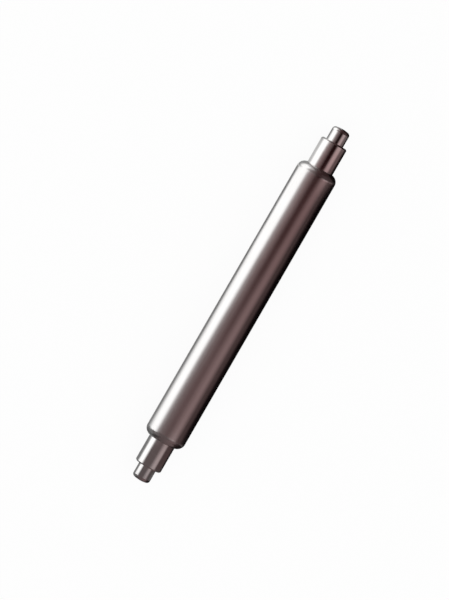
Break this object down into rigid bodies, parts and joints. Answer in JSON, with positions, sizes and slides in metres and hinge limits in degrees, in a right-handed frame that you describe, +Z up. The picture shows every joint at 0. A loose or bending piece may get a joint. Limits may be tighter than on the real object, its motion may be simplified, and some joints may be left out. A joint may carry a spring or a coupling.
{
  "type": "spring bar",
  "caption": "Straight polished steel spring bar for a watch strap: a round barrel with rolled-in ends and sprung plungers with plain collars and pivot tips.",
  "frame": {"origin": "middle of the bar, on its axis", "axes": "+X along the bar towards its right tip, +Z up as the bar lies on a flat surface"},
  "size_m": [0.0234, 0.0024, 0.0024],
  "materials": {
    "barrel_steel": "polished stainless steel tube with a faint satin from burnishing",
    "plunger_steel": "turned and brightly polished stainless steel",
    "spring_wire": "drawn stainless spring wire, bright"
  },
  "bodies": {
    "barrel": {"barrel_tube": "barrel_steel"},
    "spring": {"coil_spring": "spring_wire"},
    "plunger_right": {"plunger_right": "plunger_steel"},
    "plunger_left": {"plunger_left": "plunger_steel"}
  },
  "joints": [
    {"name": "barrel_spin", "type": "hinge", "parent": "barrel", "child": "spring", "pos_m": [0, 0, 0], "axis": [1, 0, 0], "continuous": true},
    {"name": "plunger_right_slide", "type": "slide", "parent": "spring", "child": "plunger_right", "axis": [-1, 0, 0], "range_m": [0, 0.00155], "stiffness_N_per_m": 740, "springref_m": -0.003, "deforming": ["coil_spring"]},
    {"name": "plunger_left_slide", "type": "slide", "parent": "spring", "child": "plunger_left", "axis": [1, 0, 0], "range_m": [0, 0.00155], "stiffness_N_per_m": 740, "springref_m": -0.003, "deforming": ["coil_spring"]}
  ]
}
